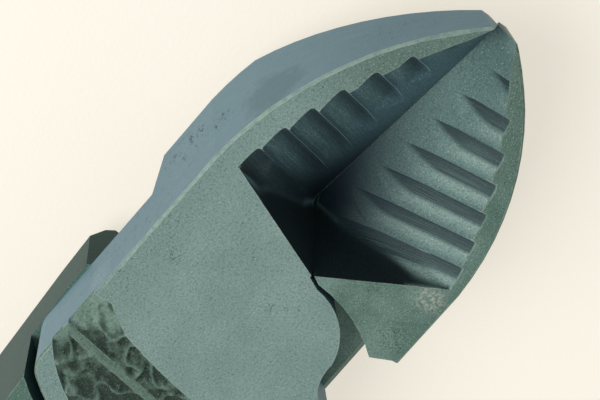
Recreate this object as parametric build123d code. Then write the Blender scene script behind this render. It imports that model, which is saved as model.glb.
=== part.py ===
from build123d import *
from math import asin, cos, degrees, radians, sin, sqrt, tan
import os

# A heavy side cutter with a lap joint, closed, seen from the front face (+Z).
# +X runs to the nose, +Y to the jaw of the front half, whose cheek is the front layer of the joint.
# The origin is on the pivot axis in the back face of the joint. Lengths are millimetres.

# Head, common to both halves
head_thickness = 11.8
back_edge_chamfer = 1.1
front_edge_chamfer = 0.2
lap_gap = 0.04
jaw_gap = 0.04
nose_reach = 32.5
nose_half_width = 1.25
nose_taper_start = 15.0
nose_thickness = 3.8
jaw_bulge = (27.4, 6.35)
widest_jaw_x = 12.5
nose_facet_start = (33.0, 0.55)
nose_facet_end = (27.6, 6.15)

# Outlines of the two halves, which differ at the joint
front_jaw_half_width = 12.6
front_cheek_half_width = 14.7
back_jaw_half_width = 11.75
back_cheek_half_width = 11.2
cheek_rear_radius = 19.0
cheek_rear_rounding = 3.0
inner_cheek_radius = 6.85
inner_cheek_start_angle = -80.0
inner_cheek_end_angle = -10.0
cheek_corner_x = 7.4
lap_face_chamfer = 0.8

# Concave shoulder that the other half's cheek runs past
shoulder_start_x = 7.85
shoulder_bend = (7.2, 1.0)
shoulder_middle = (6.3, 4.5)
shoulder_radius = 9.65
shoulder_end_angle = 68.5
shoulder_corner_x = 4.3
front_shoulder_corner_y = 13.4
back_shoulder_corner_y = 10.9
front_shoulder_lean = 1.9
shoulder_lean_reach = 3.0

# Pivot: an axle forged on the front half turns in the back half, and a washer is riveted to its end
axle_radius = 5.0
axle_clearance = 0.05
washer_radius = 6.6
washer_thickness = 1.5
rivet_radius = 3.1
rivet_clearance = 0.02

# Cutting edges and the fluted bevels above them
edge_inner_x = 9.7
edge_inner_depth = 10.0
edge_nose_depth = 2.4
edge_relief_angle = 20.0
bevel_start = (13.0, 10.0)
bevel_middle = (22.8, 6.9)
bevel_end = (31.3, 1.6)
end_wall_front_x = 7.6
end_wall_angle = 64.5
bevel_section_count = 8

# Flutes: each has a steep wall on the nose side of its lowest line. Their section is given from that line,
# as distance along the bevel and rise above its plain surface.
flute_count = 6
flute_start_y = 1.35
first_flute_start_x = 10.3
first_flute_end_x = 14.6
flute_start_pitch = 3.2
flute_end_pitch = 2.53
flute_depth = 0.5
flute_full_share = 0.43
flute_tilt = 0.34
flute_overrun = 0.25
flute_section_points = (
    (0.45, 1.3), (0.22, 0.35), (0.1, 0.1), (-0.15, 0), (-0.5, 0.03), (-1.1, 0.13), (-2.4, 0.43), (-3.8, 1.1)
)

# Forged field behind the joint, on the front half
field_depth = 0.7
field_radius = 17.1
field_corner = (-3.3, 12.3)
field_front_y = 9.7
field_front_x = -5.4
field_side_radius = 56.0
field_low = (-9.5, -5.0)
field_rear_start_angle = 112.0
field_rear_end_angle = 205.0
field_rib_width = 0.8
field_rib_height = 0.45
field_rib_x = -8.6
field_rib_lean = 16.0

# Tangs, the bars that carry the grips
tang_wall_gap = 0.9
tang_corner_x = -4.5
tang_corner_inset = 0.3
tang_shoulder_x = -9.0
tang_shoulder_extra = 0.2
flare_width = 1.1
flare_height = 1.9
flare_radius = 4.6
crotch_x = -25.0
tang_taper_start_x = -20.5
tang_start_x = -29.5
tang_width = 8.4
tang_thickness = 8.0
tang_end_x = -150.0

# Middle line of a handle, a parabola that starts behind the joint
handle_start_x = -24.0
handle_start_y = 9.6
handle_end_y = 16.6
handle_bow = 6.9

# Grips
grip_start_x = -31.0
grip_end_x = -167.5
grip_thickness = 16.4
grip_edge_rounding = 5.0
grip_end_rounding = 6.5
guard_end_x = -41.0
guard_half_width = 10.2
guard_rounding = 5.5
waist_x = -46.0
waist_half_width = 7.7
waist_rounding = 12.0
palm_half_width = 8.6
finger_half_width = 7.9
grip_end_half_width = 7.5
grip_clearance = 0.05
pad_depth = 2.2
pad_height = 9.6
pad_stands_out = 0.3
palm_pad_start_x = -49.0
palm_pad_end_x = -158.0
finger_pad_start_x = -52.0
finger_pad_end_x = -128.0

# Derived sizes. Cutters reach past the faces they open, and far beyond the head where nothing is near.
mid_plane = head_thickness / 2
tang_wall_radius = cheek_rear_radius + tang_wall_gap
washer_recess = washer_thickness + lap_gap
end_wall_lean = edge_inner_x - end_wall_front_x
far = 60.0
past = 1.0
match = 0.01
on_base = (Align.CENTER, Align.CENTER, Align.MIN)


def edge_height(x):
    """Height of the cutting edge above the back face, falling towards the joint."""
    share = (x - edge_inner_x) / (nose_reach - edge_inner_x)
    depth = edge_inner_depth + share * (edge_nose_depth - edge_inner_depth)
    return head_thickness - depth


def circle_through(first, second, third):
    """Centre and radius of the circle through three points."""
    (ax, ay), (bx, by), (cx, cy) = first, second, third
    turn = 2 * (ax * (by - cy) + bx * (cy - ay) + cx * (ay - by))
    a_square = ax**2 + ay**2
    b_square = bx**2 + by**2
    c_square = cx**2 + cy**2
    x = (a_square * (by - cy) + b_square * (cy - ay) + c_square * (ay - by)) / turn
    y = (a_square * (cx - bx) + b_square * (ax - cx) + c_square * (bx - ax)) / turn
    return x, y, sqrt((ax - x) ** 2 + (ay - y) ** 2)


def bevel_reach(x):
    """Distance of the bevel's outer edge from the cutting edge, in the front face."""
    centre_x, centre_y, radius = circle_through(bevel_start, bevel_middle, bevel_end)
    x = max(x, centre_x)
    return max(centre_y + sqrt(radius**2 - (x - centre_x) ** 2), 0.6)


def bevel_height(x, y):
    """Height of the bevel's plain surface above the back face."""
    height = edge_height(x)
    return height + (head_thickness - height) * y / bevel_reach(x)


def section_at(x, points):
    """A closed face of (y, z) points in the plane across the tool at x."""
    plane = Plane(origin=(x, 0, 0), x_dir=(0, 1, 0), z_dir=(1, 0, 0))
    return plane * make_face(Polyline(*points, close=True))


def handle_centre(x):
    """Distance of a handle's middle line from the tool's middle line."""
    share = (x - handle_start_x) / (grip_end_x - handle_start_x)
    return handle_start_y + (handle_end_y - handle_start_y) * share + 4 * handle_bow * share * (1 - share)


def handle_point(side, x, away=0.0):
    """Point in plan at x, the given distance outwards of a handle's middle line."""
    return (x, side * (handle_centre(x) + away))


def handle_arc(side, start_x, end_x, start_away, middle_away, end_away):
    """Arc along a handle, through its distances from the middle line at both ends and halfway."""
    return ThreePointArc(
        handle_point(side, start_x, start_away),
        handle_point(side, (start_x + end_x) / 2, middle_away),
        handle_point(side, end_x, end_away),
    )


def tang_bar(side, grow=0.0):
    """The bar of one handle, on the side given by +1 or -1, along the handle's middle line."""
    half_width = tang_width / 2 + grow
    thickness = tang_thickness + 2 * grow
    end_x = tang_end_x - grow
    outer = handle_arc(side, tang_start_x, end_x, half_width, half_width, half_width)
    inner = handle_arc(side, tang_start_x, end_x, -half_width, -half_width, -half_width)
    plan = make_face([outer, inner, Line(outer @ 0, inner @ 0), Line(outer @ 1, inner @ 1)])
    return Pos(0, 0, mid_plane - thickness / 2) * extrude(plan, thickness)


def on_circle(radius, angle):
    """Point at the given angle in degrees on a circle around the pivot."""
    return (radius * cos(radians(angle)), radius * sin(radians(angle)))


def arc_on_circle(radius, start_angle, end_angle):
    """Arc around the pivot between two angles in degrees."""
    middle_angle = (start_angle + end_angle) / 2
    return ThreePointArc(
        on_circle(radius, start_angle), on_circle(radius, middle_angle), on_circle(radius, end_angle)
    )


def half_plan(jaw_half_width, cheek_half_width, other_cheek_half_width):
    """Outline of the jaw, cheek and tang root of a half with its jaw on +Y, and the lines to chamfer."""
    inner = jaw_gap / 2
    tang_corner = (tang_corner_x, tang_corner_inset - other_cheek_half_width)
    flare_foot = (tang_corner_x + flare_width, tang_corner[1] + flare_height)
    tang_shoulder = (tang_shoulder_x, tang_corner[1] - tang_shoulder_extra)
    inner_cheek = arc_on_circle(inner_cheek_radius, inner_cheek_start_angle, inner_cheek_end_angle)
    root_outer = handle_point(-1, tang_start_x, tang_width / 2)
    root_inner = handle_point(-1, tang_start_x, -tang_width / 2)
    crotch = handle_point(-1, crotch_x, -tang_width / 2)
    rear_angle = 180 - degrees(asin(cheek_half_width / cheek_rear_radius))
    rear = on_circle(cheek_rear_radius, rear_angle)
    rear_line = arc_on_circle(cheek_rear_radius, rear_angle, 180)
    nose_inner = (nose_reach, inner)
    nose_outer = (nose_reach, nose_half_width)
    widest = (widest_jaw_x, jaw_half_width)
    jaw_line = ThreePointArc(nose_outer, jaw_bulge, widest)
    cheek_line = Line(widest, rear)
    tang_line = Line(root_outer, tang_shoulder)
    shoulder_line = Line(tang_shoulder, tang_corner)
    outline = [
        Line(nose_inner, nose_outer),
        jaw_line,
        cheek_line,
        rear_line,
        TangentArc(rear_line @ 1, crotch, tangent=(0, -1)),
        Line(crotch, root_inner),
        Line(root_inner, root_outer),
        tang_line,
        shoulder_line,
        Line(tang_corner, flare_foot),
        RadiusArc(flare_foot, inner_cheek @ 0, flare_radius),
        inner_cheek,
        Line(inner_cheek @ 1, (cheek_corner_x, inner)),
        Line((cheek_corner_x, inner), nose_inner),
    ]
    plan = make_face(outline)
    plan = fillet(vertices_at(plan, rear), cheek_rear_rounding)
    return plan, [jaw_line, cheek_line], [tang_line, shoulder_line]


def vertices_at(plan, point):
    """The plan's vertex at a point."""
    return [vertex for vertex in plan.vertices() if vertex.distance_to(Vertex(*point, 0)) < match]


def shoulder_mask(side, corner_y):
    """Area on the nose side of the concave shoulder, which keeps its full thickness."""
    start = (shoulder_start_x, -jaw_gap / 4)
    end = on_circle(shoulder_radius, shoulder_end_angle)
    corner = (shoulder_corner_x, corner_y)
    outline = [
        Line((start[0], -far), start),
        Line(start, shoulder_bend),
        ThreePointArc(shoulder_bend, shoulder_middle, end),
        Line(end, corner),
        Line(corner, (corner[0], far)),
        Line((corner[0], far), (far, far)),
        Line((far, far), (far, -far)),
        Line((far, -far), (start[0], -far)),
    ]
    mask = make_face(outline)
    return mask if side > 0 else mirror(mask, Plane.XZ)


def shoulder_lean_cutter():
    """The wedge that leans the front half's shoulder towards the nose, from the lap face to the back."""
    top = mid_plane + lap_gap / 2
    end = Vector(*on_circle(shoulder_radius, shoulder_end_angle))
    along = (Vector(shoulder_corner_x, front_shoulder_corner_y) - end).normalized()
    origin = end - shoulder_lean_reach * along
    plane = Plane(origin=origin, x_dir=(along.Y, -along.X, 0), z_dir=along)
    corners = [(0, -top), (front_shoulder_lean, 0), (front_shoulder_lean, past), (-far, past), (-far, -top)]
    return extrude(plane * make_face(Polyline(*corners, close=True)), far)


def lap_face_chamfer_cutter(cheek_line):
    """The wedge that bevels the outer edge of the back half's lap face, behind the shoulder."""
    along = (cheek_line % 0.5).normalized()
    start = cheek_line @ 0
    start += along * ((shoulder_corner_x - start.X) / along.X)
    origin = Vector(start.X, -start.Y, mid_plane - lap_gap / 2)
    plane = Plane(origin=origin, x_dir=(along.Y, along.X, 0), z_dir=(along.X, -along.Y, 0))
    corners = [(-lap_face_chamfer - past, past), (past, -lap_face_chamfer - past), (past, past)]
    return extrude(plane * make_face(Polyline(*corners, close=True)), far)


def valley_side():
    """The space on the nose side of the +Y jaw's end wall."""
    front_edge = Vector(cos(radians(end_wall_angle)), sin(radians(end_wall_angle)), 0)
    down = Vector(end_wall_lean, 0, -edge_inner_depth)
    normal = front_edge.cross(down)
    if normal.X < 0:
        normal = normal * -1
    wall = Plane(origin=(end_wall_front_x, 0, head_thickness), x_dir=front_edge, z_dir=normal)
    return wall * Pos(0, 0, far) * Box(4 * far, 4 * far, 2 * far)


def bevel_cutter():
    """The plain valley above the cutting edge of the +Y jaw."""
    start_x = end_wall_front_x - past
    length = nose_reach + past - start_x
    sections = []
    for i in range(bevel_section_count):
        x = start_x + length * i / (bevel_section_count - 1)
        reach = bevel_reach(x)
        height = edge_height(x)
        slope = (head_thickness - height) / reach
        top = head_thickness + past
        points = [(-past, height - past * slope), (reach + past / slope, top), (-past, top)]
        sections.append(section_at(x, points))
    return loft(sections)


def flute_section(index, share, depth):
    """Section of a flute in a plane along the tool, with share 0 at its start and 1 at the front face."""
    start_x = first_flute_start_x + index * flute_start_pitch
    end_x = first_flute_end_x + index * flute_end_pitch
    x = start_x + share * (end_x - start_x)
    y = flute_start_y + share * (bevel_reach(end_x) - flute_start_y)
    low = bevel_height(x, y) - depth
    points = [(x + across, low + flute_tilt * across + rise) for across, rise in flute_section_points]
    plane = Plane(origin=(0, y, 0), x_dir=(1, 0, 0), z_dir=(0, -1, 0))
    return plane * make_face(Polyline(*points, close=True))


def flute_cutter(index):
    """One flute: it dips into the bevel from its start, and then runs out through the front face."""
    dip = [flute_section(index, flute_full_share * k, flute_depth * k) for k in (-flute_overrun, 1)]
    run = flute_section(index, 1 + flute_overrun, flute_depth)
    return loft(dip + [run], ruled=True)


def relief_cutter():
    """The wedge that sets the jaw back below its cutting edge, seen from the back."""
    lean = tan(radians(edge_relief_angle))
    sections = []
    for x in (edge_inner_x, nose_reach + past):
        height = edge_height(x)
        foot = (height + past) * lean
        sections.append(section_at(x, [(-past, height + past / lean), (-past, -past), (foot, -past)]))
    return loft(sections, ruled=True)


def nose_taper_cutter():
    """The slice that thins both jaws from the back towards the nose."""
    rise = head_thickness - nose_thickness
    corners = [
        (nose_taper_start, -past),
        (nose_taper_start, 0),
        (nose_reach, rise),
        (nose_reach + past, rise),
        (nose_reach + past, -past),
    ]
    plan = Plane.XZ * make_face(Polyline(*corners, close=True))
    return extrude(plan, far, both=True)


def nose_facet_cutter():
    """The slice that bevels the outer front edge of the +Y jaw near the nose, at 45 degrees."""
    start = Vector(*nose_facet_start, head_thickness)
    along = (Vector(*nose_facet_end, head_thickness) - start).normalized()
    outwards = Vector(-along.Y, along.X, 0)
    if outwards.Y < 0:
        outwards = outwards * -1
    face = Plane(origin=start, x_dir=along, z_dir=Vector(outwards.X, outwards.Y, 1))
    return face * Pos(0, 0, far / 2) * Box(far, far, far)


def jaw_cutters(side):
    """Everything ground or milled off a jaw on the side given by +1 or -1."""
    valley = valley_side()
    cutters = [bevel_cutter() & valley, relief_cutter(), nose_taper_cutter(), nose_facet_cutter()]
    cutters += [flute_cutter(i) & valley for i in range(flute_count)]
    return cutters if side > 0 else [mirror(cutter, Plane.XZ) for cutter in cutters]


def root_taper_cutters():
    """The two slices that thin a tang's root from both faces down to the thickness of its bar."""
    step = (head_thickness - tang_thickness) / 2
    rear_x = tang_start_x - past
    corners = [
        (tang_taper_start_x, 0),
        (tang_start_x, step),
        (rear_x, step),
        (rear_x, -past),
        (tang_taper_start_x, -past),
    ]
    below = extrude(Plane.XZ * make_face(Polyline(*corners, close=True)), far, both=True)
    return [below, mirror(below, Plane.XY.offset(mid_plane))]


def edges_along(body, height, lines, side):
    """The body's edges at the given height along lines of its plan, mirrored for side -1."""
    level = body.edges().filter_by(lambda edge: abs(edge.center().Z - height) < match)
    points = [Vector((line @ 0.5).X, side * (line @ 0.5).Y, height) for line in lines]
    return [min(level, key=lambda edge: edge.distance_to(Vertex(point))) for point in points]


def forged_half(side):
    """One forged half without its pivot: jaw, cheek, tang root and tang. Side +1 is the front half."""
    if side > 0:
        plan, jaw_lines, tang_lines = half_plan(
            front_jaw_half_width, front_cheek_half_width, back_cheek_half_width
        )
        corner_y = front_shoulder_corner_y
        void_bottom = -past
    else:
        plan, jaw_lines, tang_lines = half_plan(
            back_jaw_half_width, back_cheek_half_width, front_cheek_half_width
        )
        plan = mirror(plan, Plane.XZ)
        corner_y = back_shoulder_corner_y
        void_bottom = mid_plane - lap_gap / 2
    body = extrude(plan, head_thickness)
    body = chamfer(edges_along(body, 0, jaw_lines + tang_lines, side), back_edge_chamfer)
    body = chamfer(edges_along(body, head_thickness, jaw_lines, side), front_edge_chamfer)
    void_height = head_thickness / 2 + lap_gap / 2 + past
    void_plan = Circle(tang_wall_radius) - shoulder_mask(side, corner_y)
    body -= Pos(0, 0, void_bottom) * extrude(void_plan, void_height)
    if side > 0:
        body -= shoulder_lean_cutter()
    else:
        body -= lap_face_chamfer_cutter(jaw_lines[1])
    for cutter in jaw_cutters(side) + root_taper_cutters():
        body -= cutter
    return body + tang_bar(-side)


def pivot_washer():
    """The flat washer that the axle's end is riveted over."""
    ring = Cylinder(washer_radius, washer_thickness, align=on_base)
    hole = Cylinder(rivet_radius + rivet_clearance, washer_thickness, align=on_base)
    return ring - hole


def axle():
    """The axle forged on the front half, with the thinner end that is riveted over the washer."""
    length = mid_plane + past - washer_thickness
    journal = Pos(0, 0, washer_thickness) * Cylinder(axle_radius, length, align=on_base)
    rivet = Cylinder(rivet_radius, washer_thickness + past, align=on_base)
    return journal + rivet


def pivot_bore():
    """The bore of the back half and the recess for the washer."""
    bore = Cylinder(axle_radius + axle_clearance, head_thickness, align=on_base)
    recess = Cylinder(washer_radius + axle_clearance, washer_recess + past, align=on_base)
    return Pos(0, 0, -past) * (bore + recess)


def grip_plan(side, grow=0.0):
    """Plan of a grip with rounded corners: a wider guard in front and a long curved body behind it."""
    front_x = grip_start_x + grow
    end_x = grip_end_x - grow
    guard = guard_half_width + grow
    waist = waist_half_width + grow
    end = grip_end_half_width + grow
    palm_line = handle_arc(side, waist_x, end_x, waist, palm_half_width + grow, end)
    finger_line = handle_arc(side, waist_x, end_x, -waist, -finger_half_width - grow, -end)
    guard_line = Polyline(
        palm_line @ 0,
        handle_point(side, guard_end_x, guard),
        handle_point(side, front_x, guard),
        handle_point(side, front_x, -guard),
        handle_point(side, guard_end_x, -guard),
        finger_line @ 0,
    )
    end_line = Line(palm_line @ 1, finger_line @ 1)
    plan = make_face([palm_line, finger_line, end_line] + list(guard_line.edges()))
    for x, radius in (
        (front_x, guard_rounding + grow),
        (guard_end_x, guard_rounding + grow),
        (waist_x, waist_rounding - grow),
        (end_x, grip_end_rounding + grow),
    ):
        corners = [vertex for vertex in plan.vertices() if abs(vertex.X - x) < match]
        plan = fillet(corners, radius)
    return plan


def grip_form(side, grow=0.0):
    """Outer form of a grip, rounded all round."""
    thickness = grip_thickness + 2 * grow
    form = Pos(0, 0, mid_plane - thickness / 2) * extrude(grip_plan(side, grow), thickness)
    faces = form.edges().group_by(Axis.Z)
    return fillet(list(faces[0]) + list(faces[-1]), grip_edge_rounding)


def pad(side, facing, start_x, end_x):
    """A soft inlay of a grip; facing is +1 on the palm's side and -1 on the fingers' side."""
    middle_x = (start_x + end_x) / 2
    window = Plane.XZ * Pos(middle_x, mid_plane) * SlotOverall(start_x - end_x, pad_height)
    split_y = (handle_centre(start_x) + handle_centre(middle_x)) / 2
    window = extrude(Pos(0, side * split_y, 0) * window, far, dir=(0, facing * side, 0))
    inner_form = Pos(0, 0, mid_plane - far) * extrude(grip_plan(side, -pad_depth), 2 * far)
    return (grip_form(side, pad_stands_out) & window) - inner_form


def forged_field():
    """The rough sunken field on the front cheek, with one rib left standing across it."""
    far_y = front_cheek_half_width + past
    front = (field_front_x, field_front_y)
    rear_line = arc_on_circle(field_radius, field_rear_end_angle, field_rear_start_angle)
    rear = rear_line @ 1
    outline = [
        Line((field_corner[0], far_y), field_corner),
        Line(field_corner, front),
        RadiusArc(front, field_low, -field_side_radius),
        Line(field_low, rear_line @ 0),
        rear_line,
        Line(rear, (rear.X, far_y)),
        Line((rear.X, far_y), (field_corner[0], far_y)),
    ]
    floor = head_thickness - field_depth
    field = Pos(0, 0, floor) * extrude(make_face(outline), field_depth + past)
    rib = Box(field_rib_width, 2 * field_radius, field_rib_height + past, align=on_base)
    rib = Pos(field_rib_x, field_front_y, floor - past) * Rot(0, 0, -field_rib_lean) * rib
    return field - rib


def grip_pieces(side):
    """The hard core of a grip with its two soft inlays; side is that of the handle."""
    palm = pad(side, 1, palm_pad_start_x, palm_pad_end_x)
    finger = pad(side, -1, finger_pad_start_x, finger_pad_end_x)
    core = grip_form(side) - palm - finger - tang_bar(side, grip_clearance)
    return core, palm, finger


os.makedirs("parts", exist_ok=True)
front_half = forged_half(1) + axle() - forged_field()
back_half = forged_half(-1) - pivot_bore()
export_step(front_half, "parts/front_half.step")
export_step(back_half, "parts/back_half.step")
export_step(pivot_washer(), "parts/pivot_washer.step")
for name, side in (("front", -1), ("back", 1)):
    core, palm, finger = grip_pieces(side)
    export_step(core, f"parts/{name}_grip_core.step")
    export_step(palm, f"parts/{name}_palm_pad.step")
    export_step(finger, f"parts/{name}_finger_pad.step")
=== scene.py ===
import math
import random

import bmesh
import bpy
import numpy as np
from mathutils import Matrix, Vector, noise
from mathutils.bvhtree import BVHTree


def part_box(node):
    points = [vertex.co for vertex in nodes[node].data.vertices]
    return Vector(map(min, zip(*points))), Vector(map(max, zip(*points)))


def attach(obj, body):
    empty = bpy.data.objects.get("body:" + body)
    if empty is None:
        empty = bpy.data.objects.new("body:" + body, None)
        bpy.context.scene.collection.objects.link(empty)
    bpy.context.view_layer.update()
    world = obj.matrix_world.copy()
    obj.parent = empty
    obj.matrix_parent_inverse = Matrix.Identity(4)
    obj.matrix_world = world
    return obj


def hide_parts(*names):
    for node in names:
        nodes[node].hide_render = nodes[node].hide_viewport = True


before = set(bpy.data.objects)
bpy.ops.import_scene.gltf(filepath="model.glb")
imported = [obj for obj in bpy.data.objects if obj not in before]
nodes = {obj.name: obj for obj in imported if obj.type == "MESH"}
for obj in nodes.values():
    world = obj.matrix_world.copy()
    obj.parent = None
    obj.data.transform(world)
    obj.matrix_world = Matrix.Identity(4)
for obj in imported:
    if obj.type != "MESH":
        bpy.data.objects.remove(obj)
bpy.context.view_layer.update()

scene = bpy.context.scene
MM = 0.001

# Sizes of the CAD model that the looks and pieces below are set against, in millimetres
HEAD_THICKNESS = 11.8
MID_PLANE = HEAD_THICKNESS / 2
FIELD_FLOOR = HEAD_THICKNESS - 0.7
HANDLE_START_X, HANDLE_END_X = -24.0, -167.5
HANDLE_START_Y, HANDLE_END_Y, HANDLE_BOW = 9.6, 16.6, 6.9

# The flutes of a jaw: they start on a line beside the cutting edge and lean towards the nose
FLUTE_START_Y = 1.35
FIRST_FLUTE_X = 10.3
FLUTE_LEAN = 0.515
FLUTE_PITCH = 3.2
FLUTE_NARROWING = 0.04
FLUTE_COUNT = 6

# The end wall of the jaws' pocket: its line in the front face, and how it leans below that face
WALL_START_X = 7.6
WALL_SLOPE = 0.477
WALL_LEAN = 0.21

# Marks of use and of forging, and one place of painted shade on a side: a place, and the two
# distances from it between which the mark fades
PITTED = ((6.4, -9.6, 11.8), 0.6, 2.2), ((3.2, 10.3, 11.8), 0.3, 1.0)
NICKED = ((9.3, 12.9, 4.6), 1.0, 3.4), ((13.5, 12.5, 6.7), 0.5, 1.6)
SCUFFED = (11.0, -9.9, 11.8), 0.3, 1.9
# A place of painted shade on the front half's side near the nose.
SIDE_SHADE = (18.5, 11.2, 9.0), 1.8, 3.4
RUBBED = (-2.7, 14.0, 9.7), 0.9, 1.9
PALER_SCALE = (-4.8, 11.9, 11.4), 0.8, 3.2


def rgb(red, green, blue):
    """A colour given in display values from 0 to 255."""
    def linear(value):
        value /= 255.0
        return value / 12.92 if value <= 0.04045 else ((value + 0.055) / 1.055) ** 2.4
    return (linear(red), linear(green), linear(blue), 1.0)


def share_of(value):
    """The value, kept between nought and one."""
    return min(1.0, max(0.0, value))


class Tree:
    """Short calls for building a node tree."""

    def __init__(self, owner):
        owner.use_nodes = True
        self.tree = owner.node_tree
        self.tree.nodes.clear()

    def add(self, kind, inputs=None, **settings):
        made = self.tree.nodes.new("ShaderNode" + kind)
        for key, value in settings.items():
            setattr(made, key, value)
        for key, value in (inputs or {}).items():
            self.put(made.inputs[key], value)
        return made

    def put(self, socket, value):
        if isinstance(value, bpy.types.NodeSocket):
            self.tree.links.new(value, socket)
        elif isinstance(value, bpy.types.Node):
            self.tree.links.new(value.outputs[0], socket)
        else:
            socket.default_value = value

    def math(self, operation, first, second=0.0, clamp=False):
        made = self.add("Math", {0: first, 1: second}, operation=operation, use_clamp=clamp)
        return made.outputs[0]

    def plus(self, first, second, clamp=False):
        return self.math("ADD", first, second, clamp)

    def minus(self, first, second):
        return self.math("SUBTRACT", first, second)

    def times(self, *values, clamp=False):
        product = values[0]
        for value in values[1:]:
            product = self.math("MULTIPLY", product, value, clamp)
        return product

    def absolute(self, value):
        return self.math("ABSOLUTE", value)

    def step(self, value, low, high, start=0.0, end=1.0):
        """A smooth step from start at low to end at high."""
        made = self.add("MapRange", interpolation_type="SMOOTHSTEP")
        for key, number in enumerate((value, low, high, start, end)):
            self.put(made.inputs[key], number)
        return made.outputs[0]

    def mix(self, share, first, second):
        made = self.add("Mix", {"Factor": share, 6: first, 7: second}, data_type="RGBA")
        return made.outputs[2]

    def noise(self, place, scale, detail=2.0, roughness=0.5):
        inputs = {"Vector": place, "Scale": scale, "Detail": detail, "Roughness": roughness}
        return self.add("TexNoise", inputs).outputs[0]

    def stretched(self, place, scale, turn):
        return self.add("Mapping", {"Vector": place, "Scale": scale, "Rotation": turn}).outputs[0]

    def bump(self, height, distance, strength=1.0, normal=None):
        made = self.add("Bump", {"Height": height, "Distance": distance, "Strength": strength})
        if normal is not None:
            self.put(made.inputs["Normal"], normal)
        return made.outputs[0]

    def open_air(self, distance, samples):
        """One where nothing stands within the distance, and less in a crevice."""
        made = self.add("AmbientOcclusion", {"Distance": distance}, samples=samples)
        return made.outputs["AO"]

    def place_mm(self):
        """Object coordinates in millimetres, which move with the body."""
        place = self.add("TexCoord").outputs["Object"]
        return self.add("VectorMath", {0: place, "Scale": 1000.0}, operation="SCALE").outputs[0]

    def seen(self):
        """One for what the camera sees, directly or through a gloss, and nought for other light."""
        path = self.add("LightPath").outputs
        shown = self.math("MAXIMUM", path["Is Camera Ray"], path["Is Glossy Ray"])
        return self.math("MAXIMUM", shown, path["Is Transmission Ray"])

    def surface(self, inputs):
        """A plain shader with the given inputs as the tree's result."""
        self.add("OutputMaterial", {"Surface": self.add("BsdfPrincipled", inputs)})


# ---------------------------------------------------------------- camera, floor and lights

def make_camera():
    """The photograph's viewpoint, about 11 cm from the pivot."""
    data = bpy.data.cameras.new("photo_camera")
    data.sensor_width = 36.0
    data.lens = 72.0
    data.clip_start = 0.002
    data.clip_end = 20.0
    camera = bpy.data.objects.new("photo_camera", data)
    right = Vector((0.57633, -0.81265, 0.08628))
    up = Vector((0.73787, 0.47207, -0.48239))
    back = Vector((0.35129, 0.34167, 0.87170))
    turn = Matrix((right, up, back)).transposed().to_4x4()
    camera.matrix_world = Matrix.Translation(Vector((46.07, 37.18, 94.17)) * MM) @ turn
    scene.collection.objects.link(camera)
    scene.camera = camera


def make_lamp(name, direction, distance, size, power, colour):
    """A square soft lamp that faces the head of the tool from the given direction."""
    data = bpy.data.lights.new(name, "AREA")
    data.shape = "SQUARE"
    data.size = size
    data.energy = power
    data.color = colour
    lamp = bpy.data.objects.new(name, data)
    head_middle = Vector((0.010, 0.0, 0.010))
    way = Vector(direction).normalized()
    lamp.location = head_middle + way * distance
    lamp.rotation_euler = way.to_track_quat("Z", "Y").to_euler()
    scene.collection.objects.link(lamp)


def make_world():
    """Soft light from all round, and a pale backdrop that only the camera and glosses see."""
    world = bpy.data.worlds.new("studio")
    scene.world = world
    tree = Tree(world)
    light = tree.add("Background", {"Color": (0.85, 0.93, 1.0, 1.0), "Strength": 0.28})
    backdrop = tree.add("Background", {"Color": (0.95, 0.93, 0.86, 1.0), "Strength": 1.0})
    both = tree.add("MixShader", {0: tree.seen(), 1: light, 2: backdrop})
    tree.add("OutputWorld", {"Surface": both})


def make_floor():
    """The pale table, with a faint paper tooth and a glow that lights nothing else."""
    half = 3.0
    height = min(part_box(name)[0].z for name in nodes) - 0.0002
    corners = [(x * half, y * half, height) for x, y in ((-1, -1), (1, -1), (1, 1), (-1, 1))]
    mesh = bpy.data.meshes.new("table_top")
    mesh.from_pydata(corners, [], [(0, 1, 2, 3)])
    floor = bpy.data.objects.new("table_top", mesh)
    scene.collection.objects.link(floor)
    material = bpy.data.materials.new("table_paper")
    tree = Tree(material)
    place = tree.place_mm()
    colour = tree.mix(tree.noise(place, 0.02, 3), rgb(168, 164, 157), rgb(164, 160, 153))
    tooth = tree.bump(tree.noise(place, 3.0, 4), 0.00004)
    paper = tree.add("BsdfPrincipled", {"Base Color": colour, "Roughness": 0.9, "Normal": tooth})
    strength = tree.times(tree.seen(), 0.64)
    glow = tree.add("Emission", {"Color": (1.0, 0.94, 0.80, 1.0), "Strength": strength})
    tree.add("OutputMaterial", {"Surface": tree.add("AddShader", {0: paper, 1: glow})})
    mesh.materials.append(material)


# ---------------------------------------------------------------- materials

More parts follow.
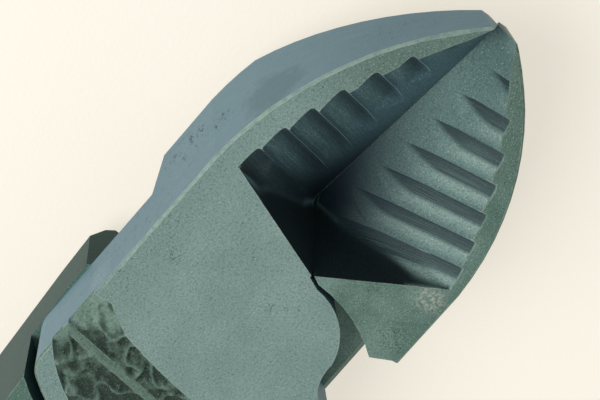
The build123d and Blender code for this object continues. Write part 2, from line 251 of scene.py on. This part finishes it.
class ForgedSteel(Tree):
    """Phosphated forged steel: blasted face, ground sides, machined bevels and a forged field."""

    def __init__(self, material):
        super().__init__(material)
        self.place = place = self.place_mm()
        self.x, self.y, self.z = self.add("SeparateXYZ", {0: place}).outputs
        self.width = self.absolute(self.y)
        normal = self.add("TexCoord").outputs["Normal"]
        self.ahead, self.aside, self.up = self.add("SeparateXYZ", {0: normal}).outputs

        self.grain = self.noise(place, 5.0, 2, 0.6)
        self.fine = self.noise(place, 9.0, 1)
        self.cloud = self.noise(place, 0.22, 4, 0.6)
        self.patch = self.noise(place, 0.09, 3)
        self.brushed = self.noise(self.stretched(place, (0.3, 0.3, 3.2), (0, 0, 0.08)), 1.6, 4, 0.7)
        self.low_grain = self.step(self.grain, 0.32, 0.55, 1.0, 0.0)
        self.high_grain = self.step(self.fine, 0.56, 0.78)

        in_jaw = self.step(self.x, 7.3, 7.8)
        below_face = self.step(self.z, 11.70, 11.78, 1.0, 0.0)
        self.upright = self.step(self.absolute(self.up), 0.25, 0.5, 1.0, 0.0)
        self.bevel = self.times(self.step(self.up, 0.3, 0.42), in_jaw, below_face)
        self.end_wall = self.times(
            self.step(self.ahead, 0.55, 0.80),
            in_jaw,
            self.step(self.width, 10.9, 11.2, 1.0, 0.0),
            self.step(self.x, 11.2, 12.3, 1.0, 0.0),
        )
        above_floor = self.step(self.z, 10.9, 11.0)
        self.field = self.times(below_face, above_floor, self.step(self.x, -3.3, -2.8, 1.0, 0.0))

        # Place along the jaw counted in flutes, tool lines along them, and each flute's steep flank
        side = self.minus(self.width, FLUTE_START_Y)
        pitch = self.minus(FLUTE_PITCH, self.times(side, FLUTE_NARROWING))
        start = self.minus(self.minus(self.x, FIRST_FLUTE_X), self.times(side, FLUTE_LEAN))
        self.flute = self.math("DIVIDE", start, pitch)
        self.across = self.math("FRACT", self.flute)
        line_place = {0: self.times(self.flute, 34.0), 1: self.times(self.y, 0.25)}
        self.lines = self.noise(self.add("CombineXYZ", line_place), 1.0, 2, 0.7)
        narrowing = self.times(self.step(self.width, 0.6, 4.6), 0.5)
        wedge = self.step(self.plus(self.across, narrowing), 0.96, 1.16)
        self.wedge = self.times(wedge, self.bevel, self.step(self.width, 1.2, 2.2))

    def near(self, centre, inner, outer):
        """One at a point of the tool, fading unevenly to nought around it."""
        to_centre = self.add("VectorMath", {0: self.place, 1: centre}, operation="DISTANCE")
        uneven = self.minus(self.noise(self.place, 0.8, 4, 0.65), 0.5)
        away = self.plus(to_centre.outputs["Value"], self.times(uneven, 1.4 * outer))
        return self.step(away, inner, outer, 1.0, 0.0)

    def vein(self, field, thin, wide):
        """One along the lines where a noise passes its middle."""
        return self.step(self.absolute(self.minus(field, 0.5)), thin, wide, 1.0, 0.0)

    def blasted_face(self, low, high):
        """Faint cloudy oxide, darker towards the outer edges, painted shade towards the nose,
        painted glints as bright points, dark specks and pits, fine scratches and a scuff.
        """
        place = self.place
        tone = self.mix(self.step(self.cloud, 0.3, 0.7), low, high)
        tone = self.mix(self.step(self.width, 8.5, 12.5), tone, low)
        # Painted shade: the face darkens towards the nose.
        tone = self.mix(self.step(self.x, 18.0, 27.0, 0.0, 0.8), tone, rgb(84, 108, 98))
        tone = self.mix(self.times(self.low_grain, 0.42), tone, rgb(56, 74, 69))
        # Painted glints: bright points in the grain.
        tone = self.mix(self.times(self.high_grain, 0.42), tone, rgb(190, 206, 192))
        speck = self.step(self.noise(place, 2.7), 0.70, 0.76)
        tone = self.mix(self.times(speck, 0.6), tone, rgb(42, 54, 50))
        hair = self.vein(self.noise(place, 0.45, 2, 0.6), 0.002, 0.005)
        hair = self.times(hair, self.step(self.patch, 0.52, 0.56), 0.55)
        tone = self.mix(hair, tone, rgb(50, 66, 62))
        pitted = self.plus(self.near(*PITTED[0]), self.near(*PITTED[1]))
        pits = self.times(pitted, self.vein(self.noise(place, 1.4, 3, 0.7), 0.008, 0.03))
        tone = self.mix(self.times(pits, 0.7, clamp=True), tone, rgb(34, 46, 44))
        scuff = self.step(self.noise(place, 3.2, 3, 0.7), 0.42, 0.62)
        scuff = self.times(self.near(*SCUFFED), scuff, 0.5)
        return self.mix(scuff, tone, rgb(206, 200, 184))

    def ground_side(self, low, high):
        """Long soft streaks, a painted highlight on the nose tip, painted shade on a side near the
        nose and a few dark nicks.
        """
        tone = self.mix(self.brushed, low, high)
        tone = self.mix(self.step(self.patch, 0.45, 0.7, 0.0, 0.4), tone, low)
        # Painted highlight on the back half's side at the nose tip.
        tip = self.times(self.step(self.x, 24.0, 28.0), self.step(self.y, -1.2, -0.4, 1.0, 0.0))
        tone = self.mix(tip, tone, rgb(140, 166, 156))
        # Painted shade on the front half's side near the nose.
        tone = self.mix(self.times(self.near(*SIDE_SHADE), 0.55), tone, rgb(92, 120, 126))
        nicked = self.plus(self.near(*NICKED[0]), self.near(*NICKED[1]))
        nicked = self.plus(nicked, self.step(self.patch, 0.50, 0.66, 0.06, 0.25), clamp=True)
        nick = self.stretched(self.place, (1.5, 1.5, 0.7), (0.5, 0.2, 0.4))
        nick = self.step(self.noise(nick, 1.9, 3, 0.75), 0.57, 0.62)
        tone = self.mix(self.times(nick, nicked, 0.85), tone, rgb(42, 60, 68))
        rubbed = self.times(self.near(*RUBBED), self.step(self.grain, 0.4, 0.6))
        return self.mix(self.times(rubbed, 0.5), tone, rgb(160, 180, 184))

    # Its bright tone is painted light, and its deep tone serves for painted shade as well as for
    # tool lines and dark grain.
    def machined_bevel(self, low, high, deep, bright, wedge_shade, scallop_shade, wall_shade_span):
        """Painted shade in the valley, near the end wall, on each flute's steep flank and along its
        edges; tool lines, painted glints, and a painted light band on each gentle flank.
        """
        # Painted light on the gentle flank of each flute.
        painted_light_fan = self.times(self.step(self.across, 0.05, 0.45), self.step(self.width, 2.6, 5.0))
        tone = self.mix(self.cloud, low, high)
        tone = self.mix(self.times(painted_light_fan, 0.5), tone, bright)
        tone = self.mix(self.times(self.low_grain, 0.34), tone, deep)
        # Painted glints, stronger on the lit flank.
        glint = self.times(self.high_grain, self.plus(self.times(painted_light_fan, 0.3), 0.38))
        tone = self.mix(glint, tone, rgb(180, 200, 188))
        line_tone = self.mix(self.step(self.lines, 0.40, 0.66, 0.0, 0.7), deep, low)
        # Painted shade on the steep flank of each flute, over its tool lines.
        line_tone = self.mix(self.step(self.across, 0.62, 0.96, 0.0, 0.75), line_tone, deep)
        tone = self.mix(self.times(self.wedge, wedge_shade), tone, line_tone)
        # Painted shade along the edges of each flute.
        scallop_edge_shade = self.times(
            self.step(self.absolute(self.minus(self.across, 0.45)), 0.12, 0.5),
            self.step(self.width, 1.8, 4.2, 0.0, scallop_shade),
            self.step(self.flute, FLUTE_COUNT - 0.1, FLUTE_COUNT + 0.2, 1.0, 0.0),
        )
        tone = self.mix(scallop_edge_shade, tone, deep)
        marked = self.step(self.flute, 1.2, 3.2, 0.7 * scallop_shade, 0.15 * scallop_shade)
        tone = self.mix(self.times(self.step(self.lines, 0.42, 0.60), marked), tone, deep)
        # Painted shade, deeper down in the valley.
        valley_shade_level = self.plus(self.z, self.times(self.minus(self.x, 10.0), 0.10))
        tone = self.mix(self.step(valley_shade_level, 3.2, 10.2, 1.0, 0.0), tone, deep)
        # Painted shade near the pocket's end wall.
        from_wall = self.minus(self.x, self.plus(self.times(self.width, 0.55), 8.4))
        return self.mix(self.step(from_wall, *wall_shade_span, 0.9, 0.0), tone, rgb(20, 32, 36))

    def forged_scale(self):
        """Painted shade between the lumps of the sunken field, with painted glints."""
        uneven = self.times(self.minus(self.noise(self.place, 1.1, 4, 0.65), 0.5), 0.35)
        level = self.plus(self.z, uneven)
        # Painted shade: the low places between the lumps are darker.
        tone = self.mix(self.step(level, 11.10, 11.60), rgb(34, 51, 43), rgb(94, 117, 104))
        tone = self.mix(self.step(self.y, 13.0, 13.7), tone, rgb(100, 124, 112))
        tone = self.mix(self.near(*PALER_SCALE), tone, rgb(112, 136, 123))
        tone = self.mix(self.times(self.low_grain, 0.4), tone, rgb(20, 30, 26))
        # Painted glints in the grain.
        return self.mix(self.times(self.high_grain, 0.5), tone, rgb(142, 162, 148))

    def broken_edge(self, colour, face):
        """The outer front edge shows the face's colour, with lighter stretches that are partly wear
        and partly a painted highlight.
        """
        outward = self.times(self.aside, self.math("SIGN", self.y))
        edge = self.times(
            self.step(outward, 0.22, 0.36),
            self.step(self.up, 0.42, 0.55),
            self.step(self.z, 5.5, 6.5),
            self.step(self.x, -2.0, 3.0),
        )
        colour = self.mix(edge, colour, face)
        # Lighter stretches along the edge: partly wear, partly a painted highlight.
        wear_and_highlight = self.step(self.noise(self.place, 1.7, 3, 0.7), 0.36, 0.60, 0.0, 0.45)
        return self.mix(self.times(edge, wear_and_highlight), colour, rgb(160, 178, 162))

    def edge_wear_and_highlight(self, colour):
        """Lighter along sharp edges, partly wear and partly a painted highlight: none in the
        crevices, and faint ones in the bevels.
        """
        rounded = self.add("Bevel", {"Radius": 0.00012}, samples=4).outputs[0]
        plain = self.add("NewGeometry").outputs["Normal"]
        alike = self.add("VectorMath", {0: rounded, 1: plain}, operation="DOT_PRODUCT")
        on_face = self.step(self.z, 11.3, 11.5)
        on_face = self.times(on_face, self.step(self.width, 4.0, 7.0, 0.35, 1.0))
        # The lighter edges stand partly for wear and partly for painted highlights.
        worn = self.times(
            self.step(alike.outputs["Value"], 0.90, 0.99, 1.0, 0.0),
            self.step(self.open_air(0.0012, 4), 0.55, 0.8),
            self.step(self.noise(self.place, 1.3, 3), 0.36, 0.60, 0.1, 0.6),
            self.plus(on_face, 0.04, clamp=True),
        )
        return self.mix(worn, colour, rgb(196, 204, 186))

    def relief(self):
        """Fine grain all over, streaks on the sides and tool lines in the flutes' wedges."""
        height = self.plus(self.times(self.grain, 0.7), self.times(self.fine, 0.3))
        normal = self.bump(height, 0.00004, 0.8)
        normal = self.bump(self.times(self.brushed, self.upright), 0.00003, 0.4, normal)
        return self.bump(self.times(self.lines, self.wedge), 0.00006, 0.7, normal)


def steel(name, face, side, bevel, wedge_shade, scallop_shade, wall_shade_span):
    """The steel of one half, from the tones of its face, sides and bevels."""
    material = bpy.data.materials.new(name)
    tree = ForgedSteel(material)
    bevel_tone = tree.machined_bevel(*bevel, wedge_shade, scallop_shade, wall_shade_span)
    # Painted shade on the pocket's end wall.
    end_wall_shade = tree.mix(tree.high_grain, rgb(21, 32, 35), rgb(38, 54, 56))
    colour = tree.mix(tree.bevel, tree.blasted_face(*face), bevel_tone)
    colour = tree.mix(tree.field, colour, tree.forged_scale())
    colour = tree.mix(tree.upright, colour, tree.ground_side(*side))
    colour = tree.mix(tree.end_wall, colour, end_wall_shade)
    colour = tree.edge_wear_and_highlight(tree.broken_edge(colour, face[0]))
    rough = tree.plus(0.50, tree.times(tree.grain, 0.16))
    rough = tree.minus(rough, tree.times(tree.upright, 0.08))
    tree.surface({
        "Base Color": colour,
        "Roughness": rough,
        "Metallic": 0.12,
        "Specular IOR Level": 0.2,
        "Normal": tree.relief(),
    })
    return material


def washer_steel():
    """Bright turned steel, slightly stained."""
    material = bpy.data.materials.new("turned_steel")
    tree = Tree(material)
    place = tree.place_mm()
    x, y, _ = tree.add("SeparateXYZ", {0: place}).outputs
    radius = tree.math("SQRT", tree.plus(tree.math("POWER", x, 2.0), tree.math("POWER", y, 2.0)))
    rings = tree.math("SINE", tree.times(radius, 42.0))
    worn = tree.noise(place, 1.2, 4)
    colour = tree.mix(worn, rgb(150, 156, 156), rgb(182, 188, 187))
    stain = tree.step(tree.noise(place, 0.5, 3), 0.55, 0.75)
    tree.surface({
        "Base Color": tree.mix(stain, colour, rgb(112, 116, 112)),
        "Roughness": tree.plus(0.28, tree.times(worn, 0.2)),
        "Metallic": 0.9,
        "Normal": tree.bump(tree.plus(rings, worn), 0.00001, 0.6),
    })
    return material


def moulded_plastic():
    """Hard grip plastic with a fine eroded grain."""
    material = bpy.data.materials.new("moulded_plastic")
    tree = Tree(material)
    place = tree.place_mm()
    grain = tree.add("TexVoronoi", {"Vector": place, "Scale": 2.6}).outputs["Distance"]
    cloud = tree.noise(place, 0.08, 4)
    colour = tree.mix(cloud, rgb(44, 46, 48), rgb(56, 58, 60))
    rubbed = tree.step(tree.noise(place, 0.25, 5, 0.7), 0.55, 0.75)
    tree.surface({
        "Base Color": tree.mix(tree.times(rubbed, 0.4), colour, rgb(74, 76, 78)),
        "Roughness": tree.plus(0.42, tree.times(cloud, 0.2)),
        "Normal": tree.bump(grain, 0.00005, 0.7),
    })
    return material


def grip_rubber():
    """Matt grey rubber, dusty in patches, with painted shade in its grooves."""
    material = bpy.data.materials.new("grip_rubber")
    tree = Tree(material)
    place = tree.place_mm()
    cloud = tree.noise(place, 0.12, 4)
    colour = tree.mix(cloud, rgb(104, 108, 110), rgb(122, 126, 127))
    dust = tree.step(tree.noise(place, 0.6, 5, 0.7), 0.56, 0.72)
    colour = tree.mix(tree.times(dust, 0.35), colour, rgb(150, 150, 146))
    # Painted shade in the grooves, from how enclosed each place is.
    groove = tree.step(tree.open_air(0.0012, 6), 0.45, 0.95, 0.85, 0.0)
    tree.surface({
        "Base Color": tree.mix(groove, colour, rgb(52, 54, 55)),
        "Roughness": tree.plus(0.70, tree.times(cloud, 0.16)),
        "Sheen Weight": 0.15,
        "Normal": tree.bump(tree.noise(place, 6.0, 3, 0.6), 0.00003, 0.7),
    })
    return material


def dress(names, material):
    """Give CAD nodes a material."""
    for name in names:
        slots = nodes[name].material_slots
        if not slots:
            nodes[name].data.materials.append(material)
        for slot in slots:
            slot.material = material


# ---------------------------------------------------------------- pieces

def add_mesh(name, mesh, material, body):
    """A smooth-shaded piece that rides a body."""
    piece = bpy.data.objects.new(name, mesh)
    scene.collection.objects.link(piece)
    mesh.materials.clear()
    mesh.materials.append(material)
    for polygon in mesh.polygons:
        polygon.use_smooth = True
    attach(piece, body)
    return piece


def mesh_from(shape, name):
    """A mesh from finished bmesh work, with its faces turned outwards."""
    bmesh.ops.recalc_face_normals(shape, faces=shape.faces)
    mesh = bpy.data.meshes.new(name)
    shape.to_mesh(mesh)
    shape.free()
    return mesh


def surface_of(node_name):
    """Search tree over a CAD node's surface."""
    mesh = nodes[node_name].data
    corners = [vertex.co for vertex in mesh.vertices]
    return BVHTree.FromPolygons(corners, [polygon.vertices[:] for polygon in mesh.polygons])


def height_at(tree, x, y):
    """Height of a node's upper surface at a place, in millimetres, or None beside it."""
    above = 30.0
    hit = tree.ray_cast(Vector((x, y, above)) * MM, Vector((0, 0, -1)))[0]
    return None if hit is None else hit.z / MM


def handle_centre(x):
    """Distance of a handle's middle line from the tool's middle line."""
    share = (x - HANDLE_START_X) / (HANDLE_END_X - HANDLE_START_X)
    straight = HANDLE_START_Y + (HANDLE_END_Y - HANDLE_START_Y) * share
    return straight + 4 * HANDLE_BOW * share * (1 - share)


def remeshed(node_name):
    """A CAD node's form as an even, slightly softened mesh."""
    copy = bpy.data.objects.new(node_name + "_blank", nodes[node_name].data.copy())
    scene.collection.objects.link(copy)
    remesh = copy.modifiers.new("voxels", "REMESH")
    remesh.mode = "VOXEL"
    remesh.voxel_size = 0.36 * MM
    smooth = copy.modifiers.new("smooth", "SMOOTH")
    smooth.iterations = 4
    smooth.factor = 0.5
    shaped = copy.evaluated_get(bpy.context.evaluated_depsgraph_get())
    mesh = bpy.data.meshes.new_from_object(shaped)
    bpy.data.objects.remove(copy)
    mesh.update()
    return mesh


def ribbed_pad(node_name, piece_name, body, side, facing, material, pitch, depth):
    """A soft inlay with moulded grooves across it, in the place of its plain CAD solid."""
    plain_end, end_fade = 2.5, 2.0
    groove_half_length, side_fade = 4.4, 0.8
    slant = 0.35
    rib_share, flank_share = 0.30, 0.45
    mesh = remeshed(node_name)
    low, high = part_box(node_name)
    moves = []
    for vertex in mesh.vertices:
        x, y, z = vertex.co / MM
        away = (abs(y) - handle_centre(x)) * facing
        out = max(0.0, vertex.normal.y * side * facing)
        end = min(x - low.x / MM, high.x / MM - x)
        across = abs(z - MID_PLANE)
        fade = share_of((end - plain_end) / end_fade)
        fade *= share_of((groove_half_length - across) / side_fade)
        wave = math.cos(2 * math.pi * (x + slant * across) / pitch)
        groove = share_of((wave - rib_share) / flank_share) if away > 0 else 0.0
        moves.append(vertex.normal * (-depth * groove * fade * min(1.0, 2 * out)) * MM)
    for vertex, move in zip(mesh.vertices, moves):
        vertex.co += move
    piece = add_mesh(piece_name, mesh, material, body)
    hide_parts(node_name)


def closed_sheet(name, cells, top, low, material, body):
    """A closed mesh over grid cells, from the given heights down to a flat underside."""
    shape = bmesh.new()
    upper = {cell: shape.verts.new(Vector(top[cell]) * MM) for cell in cells}
    under = {cell: shape.verts.new(Vector((*top[cell][:2], low)) * MM) for cell in cells}
    edges = set()
    for i, j in cells:
        ring = [(i, j), (i + 1, j), (i + 1, j + 1), (i, j + 1)]
        if all(cell in cells for cell in ring):
            shape.faces.new([upper[cell] for cell in ring])
            shape.faces.new([under[cell] for cell in reversed(ring)])
            edges.update(zip(ring, ring[1:] + ring[:1]))
    for a, b in edges:
        if (b, a) not in edges:
            shape.faces.new([upper[b], upper[a], under[a], under[b]])
    loose = [vertex for vertex in shape.verts if not vertex.link_faces]
    bmesh.ops.delete(shape, geom=loose, context="VERTS")
    add_mesh(name, mesh_from(shape, name), material, body)


def neighbours(grid, **padding):
    """The four grids shifted by one cell each way."""
    wide = np.pad(grid, 1, **padding)
    return wide[:-2, 1:-1], wide[2:, 1:-1], wide[1:-1, :-2], wide[1:-1, 2:]


def scale_rise(x, y):
    """Height of the forging scale at a place: broad lumps, raised veins and a fine crust."""
    lump = noise.fractal(Vector((x * 0.62, y * 0.62, 4.0)), 0.9, 2.1, 5)
    crust = noise.fractal(Vector((x * 2.2, y * 2.2, 2.0)), 0.8, 2.0, 3)
    lump = share_of((lump + 0.20) / 0.46)
    vein = max(0.0, 1 - abs(noise.noise(Vector((x * 0.46, y * 0.46, 7.0)))) / 0.17)
    lump_rise = 0.20 * lump**2 * (3 - 2 * lump)
    vein_rise = 0.33 * vein**2 * (3 - 2 * vein)
    return 0.02 + lump_rise + vein_rise + 0.14 * crust


def rough_field(material):
    """The forged skin of the sunken field: lumpy scale, with soft walls over the sharp CAD ones."""
    tree = surface_of("front_half")
    pitch, start_x, start_y, count_x, count_y = 0.15, -19.6, -8.4, 116, 160
    soften_rounds, fade_rounds, rim_cells = 7, 4, 2
    hidden, cover, full_depth = 0.02, 0.006, 0.55

    plain = np.full((count_x, count_y), np.nan)
    for i in range(count_x):
        for j in range(count_y):
            height = height_at(tree, start_x + i * pitch, start_y + j * pitch)
            if height is not None and height > FIELD_FLOOR - 0.05:
                plain[i, j] = height
    known = np.isfinite(plain)

    soft = np.where(known, plain, FIELD_FLOOR)
    for _ in range(soften_rounds):
        soft = (sum(neighbours(soft, mode="edge")) + 2 * soft) / 6

    # Nought at the outline of the cheek, one a few cells inside it
    from_edge = np.zeros(known.shape)
    shrunk = known
    for _ in range(fade_rounds):
        shrunk = shrunk & np.logical_and.reduce(neighbours(shrunk))
        from_edge += shrunk / fade_rounds

    # The field with a narrow rim that lies hidden below the face around it
    sunk = known & (plain < HEAD_THICKNESS - 0.1)
    wide = np.pad(sunk, rim_cells)
    rim = np.zeros_like(sunk)
    for a in range(2 * rim_cells + 1):
        for b in range(2 * rim_cells + 1):
            rim |= wide[a:a + count_x, b:b + count_y]

    cells, top = set(), {}
    for i, j in zip(*np.nonzero(rim & known)):
        x, y = start_x + i * pitch, start_y + j * pitch
        deep = share_of((HEAD_THICKNESS - soft[i, j]) / full_depth)
        height = soft[i, j] + scale_rise(x, y) * deep - 0.03
        if sunk[i, j]:
            lowest = plain[i, j] + cover
            height = lowest + max(height - lowest, 0.0) * from_edge[i, j]
        else:
            height = min(height, plain[i, j] - hidden)
        cells.add((i, j))
        top[(i, j)] = (x, y, min(height, HEAD_THICKNESS - hidden))
    underside = FIELD_FLOOR - 0.08
    closed_sheet("forged_skin", cells, top, underside, material, "front_body")


def wall_place(side, away, height):
    """A point of the pocket's end wall, from its distance to the middle line and its height."""
    x = WALL_START_X + WALL_SLOPE * away + WALL_LEAN * (HEAD_THICKNESS - height)
    return Vector((x, side * away, height))


def wall_foot(tree, side, away):
    """The point where the end wall meets the bevel or flute in front of it."""
    lowest, rise, steps, ahead = 1.6, 0.06, 200, 0.12
    for n in range(steps):
        height = lowest + n * rise
        place = wall_place(side, away, height)
        found = height_at(tree, place.x + ahead, place.y)
        if found is not None and found <= height:
            break
    return place


def blend_row(tree, side, away, points):
    """One closed section of the blend, or None where the wall is too low to hold it."""
    least_room, largest, small, hidden, buried = 0.1, 2.4, 1.1, 0.02, 0.4
    corner = wall_foot(tree, side, away)
    room = HEAD_THICKNESS - corner.z
    if room < least_room:
        return None
    size = min(largest, room - 0.03, 0.8 + 0.7 * away)
    rise = wall_place(side, away - 0.35 * size, corner.z + size)
    rise.y = side * max(rise.y * side, 0.06)
    length = max(size, min(small, 1.3 * room))
    reach = corner + Vector((0.8 * length, 0.0, 0.0))
    reach.z = min(height_at(tree, reach.x, reach.y) or corner.z, HEAD_THICKNESS - 0.05)
    beyond = corner + Vector((1.05 * length, 0.0, 0.0))
    beyond.z = min(height_at(tree, beyond.x, beyond.y) or corner.z, reach.z + 0.15) - 0.12
    hollow = []
    for n in range(points):
        share = n / (points - 1)
        hollow.append((1 - share) ** 2 * rise + 2 * share * (1 - share) * corner + share**2 * reach)
    above = rise + (rise - corner) * 0.3 - Vector((0.07, 0.0, 0.0))
    above.z = min(above.z, HEAD_THICKNESS - hidden)
    behind = corner - Vector((buried, 0.0, buried))
    return [above] + hollow + [beyond, behind]


def pocket_blend(name, node_name, side, material, body):
    """The soft hollow where the cutter that made a bevel ran up the pocket's end wall."""
    tree = surface_of(node_name)
    stations, points, first_away, last_away = 34, 9, 0.08, 10.5
    rows = []
    for k in range(stations):
        away = first_away + (last_away - first_away) * k / (stations - 1)
        row = blend_row(tree, side, away, points)
        if row is None:
            break
        rows.append(row)
    shape = bmesh.new()
    grid = [[shape.verts.new(point * MM) for point in row] for row in rows]
    count = len(rows[0])
    for first, second in zip(grid, grid[1:]):
        for n in range(count):
            m = (n + 1) % count
            shape.faces.new([first[n], first[m], second[m], second[n]])
    shape.faces.new(grid[0])
    shape.faces.new(list(reversed(grid[-1])))
    mesh = mesh_from(shape, name)
    add_mesh(name, mesh, material, body)
    # The hidden underside and ends are flat, so that they don't bend the shading of the hollow
    for polygon in mesh.polygons:
        columns = [vertex % count for vertex in polygon.vertices]
        polygon.use_smooth = count - 1 not in columns and len(polygon.vertices) == 4


def hammered_dome(name, radius, rise, material, body):
    """The peened end of the axle, a low dome under the back face with dents left by the hammer."""
    rings, around, dents, dent_reach, base_depth = 10, 48, 9, 0.35 * radius, 0.2
    draw = random.Random(7)
    blows = [
        (draw.uniform(-radius, radius), draw.uniform(-radius, radius), draw.uniform(0.05, 0.14))
        for _ in range(dents)
    ]
    shape = bmesh.new()
    levels = []
    for k in range(rings + 1):
        share = k / rings
        r = radius * (1 - share)
        ring = []
        for n in range(around if k < rings else 1):
            angle = 2 * math.pi * n / around
            x, y = r * math.cos(angle), r * math.sin(angle)
            drop = rise * (1 - (r / radius) ** 2) ** 0.6
            for blow_x, blow_y, deep in blows:
                off = math.hypot(x - blow_x, y - blow_y) / dent_reach
                if off < 1:
                    drop -= deep * (1 - off**2) ** 2 * min(1.0, 2 * share)
            ring.append(shape.verts.new(Vector((x, y, -max(drop, 0.0))) * MM))
        levels.append(ring)
    rim, top = levels[0], levels[-1][0]
    base = [shape.verts.new(Vector((v.co.x, v.co.y, base_depth * MM))) for v in rim]
    for n in range(around):
        m = (n + 1) % around
        for lower, upper in zip(levels[:-2], levels[1:-1]):
            shape.faces.new([lower[n], lower[m], upper[m], upper[n]])
        shape.faces.new([levels[-2][n], levels[-2][m], top])
        shape.faces.new([rim[m], rim[n], base[n], base[m]])
    shape.faces.new(base)
    add_mesh(name, mesh_from(shape, name), material, body)


# ---------------------------------------------------------------- the scene

make_camera()
make_world()
make_floor()
make_lamp("key_lamp", (-0.22, 0.62, 0.76), 0.45, 0.30, 1.75, (1.0, 1.0, 1.0))
make_lamp("fill_lamp", (-0.5, -0.5, 0.8), 0.6, 0.4, 0.35, (1.0, 0.98, 0.95))

# The two halves are one steel, and their tones differ as painted light and shade: the back half's
# face and sides are painted darker, and its bevel and light bands lighter, than the front half's.
front_steel = steel(
    "front_steel",
    face=(rgb(119, 143, 137), rgb(130, 153, 146)),
    side=(rgb(105, 136, 147), rgb(129, 160, 171)),
    bevel=(rgb(63, 92, 101), rgb(78, 110, 116), rgb(20, 34, 42), rgb(90, 120, 120)),
    wedge_shade=0.35,
    scallop_shade=0.7,
    wall_shade_span=(-1.0, 0.9),
)
back_steel = steel(
    "back_steel",
    face=(rgb(79, 108, 96), rgb(118, 143, 134)),
    side=(rgb(34, 60, 58), rgb(62, 92, 86)),
    bevel=(rgb(80, 106, 104), rgb(96, 122, 118), rgb(18, 33, 42), rgb(146, 170, 160)),
    wedge_shade=0.85,
    scallop_shade=0.0,
    wall_shade_span=(-1.9, -1.0),
)
plastic = moulded_plastic()
rubber = grip_rubber()
washer = washer_steel()
dress(["front_half"], front_steel)
dress(["back_half"], back_steel)
dress(["pivot_washer"], washer)
dress(["front_grip_core", "back_grip_core"], plastic)

for half, side in (("front", -1), ("back", 1)):
    for pad, facing, pitch, depth in (("palm", 1, 3.4, 0.45), ("finger", -1, 5.2, 0.5)):
        node_name, piece_name, body = f"{half}_{pad}_pad", f"{half}_{pad}_inlay", f"{half}_body"
        ribbed_pad(node_name, piece_name, body, side, facing, rubber, pitch, depth)
rough_field(front_steel)
pocket_blend("front_pocket_blend", "front_half", 1, front_steel, "front_body")
pocket_blend("back_pocket_blend", "back_half", -1, back_steel, "back_body")
hammered_dome("rivet_head", 3.05, 0.35, washer, "front_body")

scene.view_settings.view_transform = "Standard"
